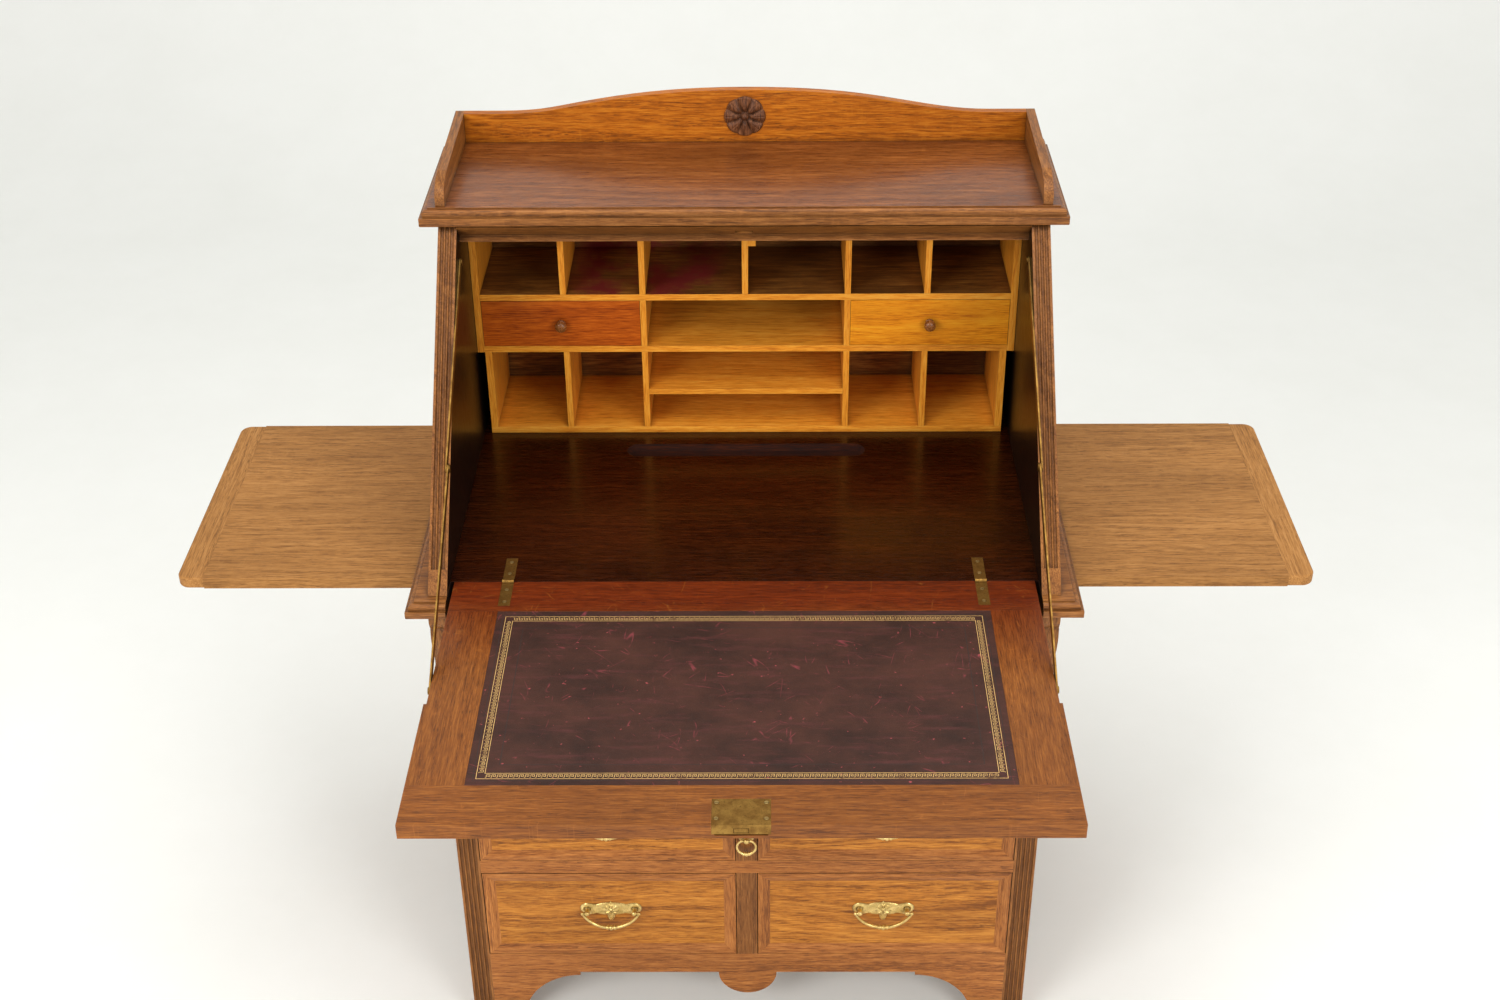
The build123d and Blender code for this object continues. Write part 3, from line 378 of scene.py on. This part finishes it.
def dress_case():
    """The boards of the case, each with its grain along its length."""
    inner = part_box("fall_frame")[1].x + 4 * MM
    top_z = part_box("waist_board")[1].z
    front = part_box("waist_board")[0].y + 30 * MM
    groove_depth = 8 * MM

    def board_face(c, n):
        # the pen groove (3) and the well floor (1) take painted shade
        if abs(c.x) < inner and c.y > front and top_z - groove_depth < c.z < top_z - 0.02 * MM:
            return 3
        if abs(c.x) < inner and n.z > TOP_FACING and c.z > top_z - 1 * MM:
            return 1
        return 2 if abs(n.x) > 0.7 else 0

    def top_face(c, n):
        if n.z > 0.99 and c.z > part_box("top_board")[1].z - 3 * MM:
            return 2
        return 1 if abs(n.x) > 0.7 else 0

    dress("top_board", ("oak_X", "oak_Y", "top"), top_face)
    dress("gallery_back", ("gallery",))
    dress("gallery_sides", ("oak_Y",))
    # The inner faces of the upper sides take painted shade.
    dress("upper_sides", ("oak_Z", "inner"), lambda c, n: 1 if abs(n.x) > 0.99 and abs(c.x) < inner else 0)
    dress("waist_board", ("oak_X", "well", "oak_Y", "groove"), board_face)
    dress("front_rails", ("border_X", "oak_Z"),
          lambda c, n: 1 if abs(c.x) < MUNTIN_HALF and abs(n.z) < TOP_FACING else 0)
    dress("back_panels", ("back", "shaded_X"), lambda c, n: 1 if n.y < -0.9 else 0)
    for material, nodes in (("oak_Z", ("lower_sides", "front_posts", "corbels")),
                            ("oak_X", ("slide_rails", "frieze", "strike_rail")),
                            ("border_X", ("apron",)),
                            ("plain", ("slide_bed", "drawer_runners"))):
        for node in nodes:
            dress(node, (material,))


def dress_inside():
    """Plain pine in front and in the middle; elsewhere darkened with painted shade, and stained by red ink.
    """
    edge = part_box("pigeonhole_shelves")[0].y + 1 * MM
    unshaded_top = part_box("small_drawer_left")[1].z
    # shelf faces behind the front edge, other than the low middle ones, take painted shade
    dress("pigeonhole_shelves", ("pine_X", "shaded_X"),
          lambda c, n: 0 if c.y < edge or abs(c.x) < MIDDLE_HALF and c.z < unshaded_top else 1)
    dress("pigeonhole_uprights", ("pine_Z",))
    for side in SIDES:
        dress("small_drawer_" + side, ("small_" + side, "plain"),
              lambda c, n: 0 if c.y < edge + 9 * MM else 1)
        dress("knob_" + side, ("knob",))


def dress_fall():
    """The writing side of the fall keeps its old polish; its outer side doesn't."""
    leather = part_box("leather")

    def frame_face(c, n):
        stile = leather[0].y + MM < c.y < leather[1].y - MM and abs(c.x) > leather[1].x - MM
        return (2 if n.z > TOP_FACING else 0) + (1 if stile else 0)

    dress("fall_frame", ("fall_X", "fall_Y", "polish_X", "polish_Y"), frame_face)
    dress("fall_panel", ("fall_X",))
    dress("leather", ("leather",))


def drawer_face(low, high):
    """Which material a drawer's face takes: raised field, plain tray, or border along or across."""

    def choose(c, n):
        from_end = min(c.x - low.x, high.x - c.x)
        from_edge = min(c.z - low.z, high.z - c.z)
        if c.y > low.y + DRAWER_FRONT + 0.05 * MM:
            return 1
        if from_end < BORDER_WIDTH and abs(n.z) < 0.9:
            return 3 if from_end < from_edge else 2
        return 2 if from_edge < BORDER_WIDTH - 2 * MM else 0

    return choose


def brighten_screws(mesh):
    """The small loose bodies in a metal plate are its screws, which are rubbed brighter."""
    key = [tuple(round(v / (0.01 * MM)) for v in vertex.co) for vertex in mesh.vertices]
    parent = {k: k for k in key}

    def root(k):
        while parent[k] != k:
            parent[k] = parent[parent[k]]
            k = parent[k]
        return k

    for polygon in mesh.polygons:
        first = root(key[polygon.vertices[0]])
        for v in polygon.vertices[1:]:
            parent[root(key[v])] = first
    bodies = {}
    for vertex in mesh.vertices:
        bodies.setdefault(root(key[vertex.index]), []).append(vertex.co)
    small = {k for k, points in bodies.items()
             if all(max(p[a] for p in points) - min(p[a] for p in points) < SCREW_SIZE for a in range(3))}
    for polygon in mesh.polygons:
        if root(key[polygon.vertices[0]]) in small:
            polygon.material_index = 1


def dress_rest():
    """The side slides, the drawers and everything of brass."""
    for side in SIDES:
        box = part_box("slide_" + side)
        seam = max(abs(box[0].x), abs(box[1].x)) - CLAMP_WIDTH
        dress("slide_" + side, ("slide_X", "slide_Y"), lambda c, n: 1 if abs(c.x) > seam else 0)
        for row in ROWS:
            name = f"drawer_{row}_{side}"
            low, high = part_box(name)
            dress(name, (name, "plain", "border_X", "border_Z"), drawer_face(low, high))
    for name in NODES:
        if name.startswith(("lock", "hinge", "stay", "escutcheon")):
            dress(name, ("aged_brass", "screw_brass"))
            brighten_screws(NODES[name].data)
        if name.startswith(("pull", "bail", "ring")):
            dress(name, ("pull_brass",))


dress_case()
dress_inside()
dress_fall()
dress_rest()


# ---- mesh pieces ----
def piece(name, shape, body, material, replaces=(), smooth=True):
    """Makes a mesh object of a Shape, carried by a body, and hides the CAD nodes it stands for."""
    mesh = bpy.data.meshes.new(name)
    mesh.from_pydata([tuple(v) for v in shape.vertices], [], shape.faces)
    mesh.validate()
    mesh.polygons.foreach_set("use_smooth", [smooth] * len(mesh.polygons))
    mesh.materials.append(MATERIALS[material])
    made = bpy.data.objects.new(name, mesh)
    bpy.context.scene.collection.objects.link(made)
    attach(made, body)
    if replaces:
        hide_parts(*replaces)


class Shape:
    """Collects vertices and faces of several closed bodies into one mesh."""

    def __init__(self):
        self.vertices = []
        self.faces = []

    def grid(self, rows):
        """Joins rows of equal length, each row a closed loop, and closes both ends."""
        start, count = len(self.vertices), len(rows[0])
        for row in rows:
            self.vertices.extend(row)
        for r in range(len(rows) - 1):
            for k in range(count):
                a, b = start + r * count + k, start + r * count + (k + 1) % count
                self.faces.append((a, b, b + count, a + count))
        self.faces.append(tuple(start + k for k in reversed(range(count))))
        self.faces.append(tuple(start + (len(rows) - 1) * count + k for k in range(count)))

    def tube(self, points, radii, sides=16):
        """A round bar along points, its radius given at each of them."""
        points = [Vector(p) for p in points]
        rows = []
        across = None
        for k, point in enumerate(points):
            ahead = points[min(k + 1, len(points) - 1)] - points[max(k - 1, 0)]
            ahead.normalize()
            if across is None:
                across = ahead.orthogonal().normalized()
            across = (across - ahead * across.dot(ahead)).normalized()
            other = ahead.cross(across)
            rows.append([point + radii[k] * (math.cos(t) * across + math.sin(t) * other)
                         for t in (2 * math.pi * s / sides for s in range(sides))])
        self.grid(rows)

    def turned(self, centre, axis, profile, sides=28):
        """A turned body: profile holds (distance along the axis, radius)."""
        axis = Vector(axis).normalized()
        self.tube([Vector(centre) + axis * far for far, _ in profile],
                  [max(r, 1e-5) for _, r in profile], sides)

    def ball(self, centre, half, radius, steps, sides=28):
        """A round knob on a level pin: half its length along the pin, and its radius."""
        turns = [math.pi * k / steps for k in range(steps + 1)]
        self.turned(centre, (1, 0, 0), [(half * -math.cos(t), radius * math.sin(t)) for t in turns], sides)

    def relief(self, centre, outline, height, rings=26, spokes=160):
        """A cast or carved plate that faces the writer: radius outline(angle), relief height(x, z, rim)."""
        cx, cy, cz = centre
        rows = []
        for r in [0.004] + [(k / rings) ** 0.85 for k in range(1, rings + 1)]:
            row = []
            for s in range(spokes):
                t = 2 * math.pi * s / spokes
                x, z = outline(t) * r * math.cos(t), outline(t) * r * math.sin(t)
                row.append(Vector((cx + x, cy - height(x, z, r), cz + z)))
            rows.append(row)
        flat = [Vector((v.x, cy, v.z)) for v in rows[-1]]
        self.grid(rows + [flat])


def smoothstep(low, high, value):
    """0 at low, 1 at high, eased in between."""
    t = min(1.0, max(0.0, (value - low) / (high - low)))
    return t * t * (3 - 2 * t)


def beads(along, places):
    """How much turned beads, each (place, size, half length) in mm, thicken a wire at a point along it."""
    swell = 0.0
    for place, size, half in places:
        off = abs(along / MM - place)
        if off < half:
            swell += size * MM * math.sqrt(max(0.0, 1 - (off / half) ** 2))
    return swell


# ---- drawer pulls ----
PULL_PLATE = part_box("pull_plate_bottom_left")
PULL_HALF = (PULL_PLATE[1].x - PULL_PLATE[0].x) / 2
LOBE = 10.5 * MM
POST = PULL_HALF - LOBE
AXLE_OUT = 10.6 * MM
DROP = 27 * MM
BAIL_HALF = 40 * MM
BAIL_GRIP = 3.6 * MM
PIN = 1.7 * MM


def plate_outline(angle):
    """Radius of the plate from its middle: a crescent body, round end lobes and a point below."""
    x, z = math.cos(angle), math.sin(angle)
    reach = 1 / math.sqrt((x / (30 * MM)) ** 2 + (z / (11.5 * MM)) ** 2)
    gap = abs(POST * z)
    if gap < LOBE:
        reach = max(reach, POST * abs(x) + math.sqrt(LOBE ** 2 - gap ** 2))
    if z < 0:
        reach = max(reach, 22 * MM * (-z) ** 6)
    elif abs(x) < 0.8:
        reach = max(reach, 12.2 * MM * (1 - 0.10 * math.cos(10 * angle)))
    return reach


def plate_height(x, z, rim):
    """Relief of the plate: bevelled rim, domes at the ends, a shell in the middle, veins between."""
    edge = 1.5 * MM * smoothstep(1.0, 0.93, rim)
    far = math.hypot(abs(x) - POST, z)
    dome = 1.1 * MM * smoothstep(8.5 * MM, 6.5 * MM, far)
    dome -= 0.7 * MM * smoothstep(6.2 * MM, 5.0 * MM, far)
    middle = math.hypot(x, z + 1 * MM)
    angle = math.atan2(x, z + 3 * MM)
    petals = 0.5 + 0.5 * math.cos(9 * angle)
    shell = (0.5 + 1.3 * petals) * MM * smoothstep(11 * MM, 8.5 * MM, middle)
    shell *= smoothstep(1.0 * MM, 4 * MM, middle)
    button = 2.4 * MM * math.sqrt(max(0.0, 1 - (middle / (3.0 * MM)) ** 2))
    vein = 0.45 * MM * (0.5 + 0.5 * math.cos(x / (1.5 * MM))) * smoothstep(10 * MM, 13 * MM, abs(x))
    vein *= smoothstep(25 * MM, 21 * MM, abs(x)) * smoothstep(0.95, 0.75, rim)
    tip = 0.9 * MM * smoothstep(4 * MM, 1.5 * MM, abs(x)) * smoothstep(-9 * MM, -12 * MM, z)
    return edge + dome + max(shell, button) + vein + tip * smoothstep(1.0, 0.9, rim)


def make_pull(row, side):
    """A cast plate on a drawer and the bail that hangs from its two posts."""
    plate_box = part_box(f"pull_plate_{row}_{side}")
    bail_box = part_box(f"bail_{row}_{side}")
    x = (plate_box[0].x + plate_box[1].x) / 2
    back = plate_box[1].y
    axle = back - AXLE_OUT
    height = bail_box[0].z + DROP + BAIL_GRIP
    plate = Shape()
    plate.relief((x, back, height), plate_outline, plate_height)
    for way in (-1, 1):
        plate.turned((x + way * POST, back - 1.5 * MM, height), (0, -1, 0),
                     ((0, 4.4 * MM), (0.8 * MM, 4.6 * MM), (1.5 * MM, 3.4 * MM), (5.4 * MM, 2.9 * MM),
                      (6.4 * MM, 3.6 * MM), (8.4 * MM, 4.0 * MM), (10.4 * MM, 3.6 * MM),
                      (11.7 * MM, 2.2 * MM), (12.2 * MM, 0.3 * MM)))
    piece(f"cast_plate_{row}_{side}", plate, f"drawer_{row}_{side}", "pull_brass",
          (f"pull_plate_{row}_{side}",))
    bail = Shape()
    radius = (BAIL_HALF ** 2 + DROP ** 2) / (2 * DROP)
    sweep = math.asin(BAIL_HALF / radius)
    points, radii = [], []
    steps = 90
    for k in range(steps + 1):
        angle = sweep * (2 * k / steps - 1)
        level = height - DROP + radius * (1 - math.cos(angle))
        points.append((x + radius * math.sin(angle), axle, level))
        wire = 1.75 * MM + 0.75 * MM * math.cos(angle / sweep * math.pi / 2)
        radii.append(wire + beads(radius * angle, ((0, 1.5, 2.4), (-5.2, 0.9, 1.7), (5.2, 0.9, 1.7))))
    bail.tube(points, radii)
    for way in (-1, 1):
        end = (x + way * BAIL_HALF, axle, height)
        bail.ball(end, 2.6 * MM, 2.9 * MM, 10)
        bail.tube([(x + way * (POST - 3 * MM), axle, height), end], [PIN, PIN])
    piece(f"cast_bail_{row}_{side}", bail, f"bail_{row}_{side}", "pull_brass",
          (f"bail_{row}_{side}",))


for row_name in ROWS:
    for side_name in SIDES:
        make_pull(row_name, side_name)


# ---- ring pull ----
def make_ring():
    """The turned boss on the centre muntin and the ring that hangs from it."""
    plate_box, ring_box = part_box("ring_plate"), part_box("ring")
    back = plate_box[1].y
    height = (plate_box[0].z + plate_box[1].z) / 2
    axle = (ring_box[0].y + ring_box[1].y) / 2
    boss = Shape()
    boss.turned((0, back, height), (0, -1, 0),
                ((0, 11 * MM), (0.8 * MM, 11 * MM), (1.5 * MM, 10 * MM), (1.8 * MM, 8.4 * MM),
                 (2.6 * MM, 7.6 * MM), (3.0 * MM, 5.0 * MM), (4.2 * MM, 3.6 * MM), (6.8 * MM, 3.2 * MM),
                 (8.6 * MM, 4.0 * MM), (10.6 * MM, 4.0 * MM), (12.2 * MM, 2.8 * MM), (12.9 * MM, 0.4 * MM)))
    piece("turned_boss", boss, "case", "pull_brass", ("ring_plate",))
    ring = Shape()
    start = math.radians(60)
    cad_wire = 2.2 * MM
    radius = (ring_box[1].x - ring_box[0].x) / 2 - cad_wire
    centre = height - radius * math.sin(start)
    points, radii = [], []
    steps = 110
    for k in range(steps + 1):
        angle = math.pi - start + (math.pi + 2 * start) * k / steps
        points.append((radius * math.cos(angle), axle, centre + radius * math.sin(angle)))
        wire = 1.7 * MM + 0.5 * MM * max(0.0, -math.sin(angle))
        along = radius * (angle - 1.5 * math.pi)
        radii.append(wire + beads(along, ((0, 1.2, 2.0), (-3.8, 0.8, 1.4), (3.8, 0.8, 1.4))))
    ring.tube(points, radii)
    for way in (-1, 1):
        end = (way * radius * math.cos(start), axle, height)
        ring.tube([(way * 2 * MM, axle, height), end], [PIN, PIN])
        ring.ball(end, 2.3 * MM, 2.3 * MM, 8, 16)
    piece("cast_ring", ring, "ring", "pull_brass", ("ring",))


make_ring()


# ---- rosette ----
def make_rosette():
    """A carved flower of eight petals round a button, on the crest of the gallery."""
    low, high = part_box("rosette")
    radius = (high.x - low.x) / 2
    centre = ((low.x + high.x) / 2, high.y, (low.z + high.z) / 2)
    petals = 8

    def outline(angle):
        return radius * (0.93 + 0.07 * abs(math.cos(petals * angle / 2)) ** 0.6)

    def height(x, z, rim):
        far = math.hypot(x, z) / radius
        angle = math.atan2(z, x)
        lobe = abs(math.cos(petals * angle / 2)) ** 0.7
        dish = smoothstep(0.12, 0.45, far) * (1 - 0.35 * smoothstep(0.55, 0.95, far))
        petal = 4.4 * MM * lobe * dish
        vein = 0.7 * MM * smoothstep(0.25, 0.0, abs(math.sin(petals * angle / 2)))
        vein *= smoothstep(0.3, 0.5, far)
        button = 6.5 * MM * math.sqrt(max(0.0, 1 - (far / 0.2) ** 2))
        return 0.6 * MM + max(petal - vein, button) * smoothstep(1.0, 0.94, rim)

    shape = Shape()
    shape.relief(centre, outline, height, rings=40, spokes=240)
    piece("carved_rosette", shape, "case", "carved", ("rosette",))


make_rosette()


# ---- tooling on the leather ----
def make_tooling():
    """A gilt key band between two lines, and plain blind lines inside and outside it."""
    low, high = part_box("leather")
    level = high.z + 0.03 * MM
    inset, band, line, unit = 11 * MM, 10 * MM, 0.7 * MM, 6.2 * MM

    def strip(shape, x, y):
        """A flat rectangle between two values of x and two of y."""
        start = len(shape.vertices)
        shape.vertices += [(x[0], y[0], level), (x[1], y[0], level), (x[1], y[1], level), (x[0], y[1], level)]
        shape.faces.append((start, start + 1, start + 2, start + 3))

    def frame_lines(shape, gap, width):
        x0, x1, y0, y1 = low.x + gap, high.x - gap, low.y + gap, high.y - gap
        strip(shape, (x0, x1), (y0, y0 + width))
        strip(shape, (x0, x1), (y1 - width, y1))
        strip(shape, (x0, x0 + width), (y0 + width, y1 - width))
        strip(shape, (x1 - width, x1), (y0 + width, y1 - width))

    gilt = Shape()
    frame_lines(gilt, inset, line)
    frame_lines(gilt, inset + band - line, line)
    stroke, clear = 0.75 * MM, 1.5 * MM
    key = band - 2 * line - 2 * clear
    base = inset + line + clear
    key_width = 0.8    # share of one repeat that the key takes
    # Each stroke of one key: start and end along the band, then across it, as shares of its size.
    hooks = ((0, 0, 0, 1), (0, 0.8, 1, 1), (0.8, 0.8, 0.28, 1),
             (0.4, 0.8, 0.28, 0.28), (0.4, 0.4, 0.28, 0.66), (-0.2, 0, 0, 0))
    for axis in (0, 1):
        reach = high[axis] - low[axis] - 2 * (inset + band)
        count = int(reach / unit)
        pitch = reach / count
        other = 1 - axis
        for edge, way in ((low[other], 1), (high[other], -1)):
            for k in range(count):
                begin = low[axis] + inset + band + (k + 0.2) * pitch
                for a, b, c, d in hooks:
                    size = pitch * key_width
                    along = (begin + a * size, begin + b * size + stroke)
                    over = (c * (key - stroke), d * (key - stroke) + stroke)
                    across = sorted(edge + way * (base + v) for v in over)
                    strip(gilt, *((along, across) if axis == 0 else (across, along)))
    piece("gilt_band", gilt, "fall", "gilt", smooth=False)
    blind = Shape()
    frame_lines(blind, inset + band + 14 * MM, 0.9 * MM)
    frame_lines(blind, inset - 3.5 * MM, 0.8 * MM)
    piece("blind_lines", blind, "fall", "blind", smooth=False)


make_tooling()


# ---- floor, light and camera ----
def make_stage():
    """A pale floor that curves up into a backdrop."""
    half, near, bend, rise, radius = 9.0, -7.0, 2.6, 6.0, 1.6
    profile = [(near, 0.0), (bend, 0.0)]
    profile += [(bend + radius * math.sin(t), radius * (1 - math.cos(t)))
                for t in (math.pi / 2 * k / 16 for k in range(1, 17))]
    profile.append((bend + radius, rise))
    vertices = [(x, y, z) for x in (-half, half) for y, z in profile]
    count = len(profile)
    faces = [(k, k + 1, count + k + 1, count + k) for k in range(count - 1)]
    mesh = bpy.data.meshes.new("stage")
    mesh.from_pydata(vertices, [], [tuple(reversed(f)) for f in faces])
    mesh.polygons.foreach_set("use_smooth", [True] * len(mesh.polygons))
    m = Maker("stage_paint")
    spot = m.noise(m.stretch(m.coordinates(), (3.0, 3.0, 3.0)), detail=6.0, rough=0.7)
    paint = m.mix(m.span(spot, 0.35, 0.75), (0.895, 0.91, 0.895), (0.865, 0.88, 0.86))
    mesh.materials.append(m.finish(paint, 0.6, edge=0.0))
    stage = bpy.data.objects.new("stage", mesh)
    bpy.context.scene.collection.objects.link(stage)


def lamp(name, place, target, size, power):
    """A soft rectangular light, in metres and watts, aimed at target."""
    data = bpy.data.lights.new(name, "AREA")
    data.shape = "RECTANGLE"
    data.size, data.size_y = size
    data.energy = power
    data.color = (1.0, 0.98, 0.95)
    made = bpy.data.objects.new(name, data)
    made.location = place
    made.rotation_euler = (Vector(target) - Vector(place)).to_track_quat("-Z", "Y").to_euler()
    bpy.context.scene.collection.objects.link(made)


def make_lights():
    """Even studio light: a bright room, one lamp above and two in front."""
    world = bpy.data.worlds.new("room")
    world.use_nodes = True
    world.node_tree.nodes["Background"].inputs["Color"].default_value = (1.0, 0.985, 0.95, 1.0)
    world.node_tree.nodes["Background"].inputs["Strength"].default_value = 0.66
    bpy.context.scene.world = world
    lamp("overhead", (0.3, -0.4, 3.6), (0, 0, 0.8), (3.2, 2.6), 60)
    lamp("front_left", (-2.6, -3.0, 2.6), (0, 0, 0.8), (2.0, 1.6), 90)
    lamp("front_right", (2.4, -3.4, 2.2), (0, 0, 0.7), (1.6, 1.4), 66)


def make_camera():
    """The viewer stands in front and looks down at the open desk."""
    eye = (0.0263, -2.1024, 2.1995)
    focal = 47.045
    tilt, turn, roll = math.radians(32.53), math.radians(-0.506), math.radians(0.412)
    ahead = Vector((math.sin(turn) * math.cos(tilt), math.cos(turn) * math.cos(tilt), -math.sin(tilt)))
    right = Vector((math.cos(turn), -math.sin(turn), 0))
    down = ahead.cross(right)
    right, down = (math.cos(roll) * right + math.sin(roll) * down,
                   math.cos(roll) * down - math.sin(roll) * right)
    data = bpy.data.cameras.new("camera")
    data.lens = focal
    camera = bpy.data.objects.new("camera", data)
    camera.matrix_world = Matrix.Translation(eye) @ Matrix(
        (right, -down, -ahead)).transposed().to_4x4()
    bpy.context.scene.collection.objects.link(camera)
    bpy.context.scene.camera = camera


make_stage()
make_lights()
make_camera()
bpy.context.scene.view_settings.view_transform = "Standard"
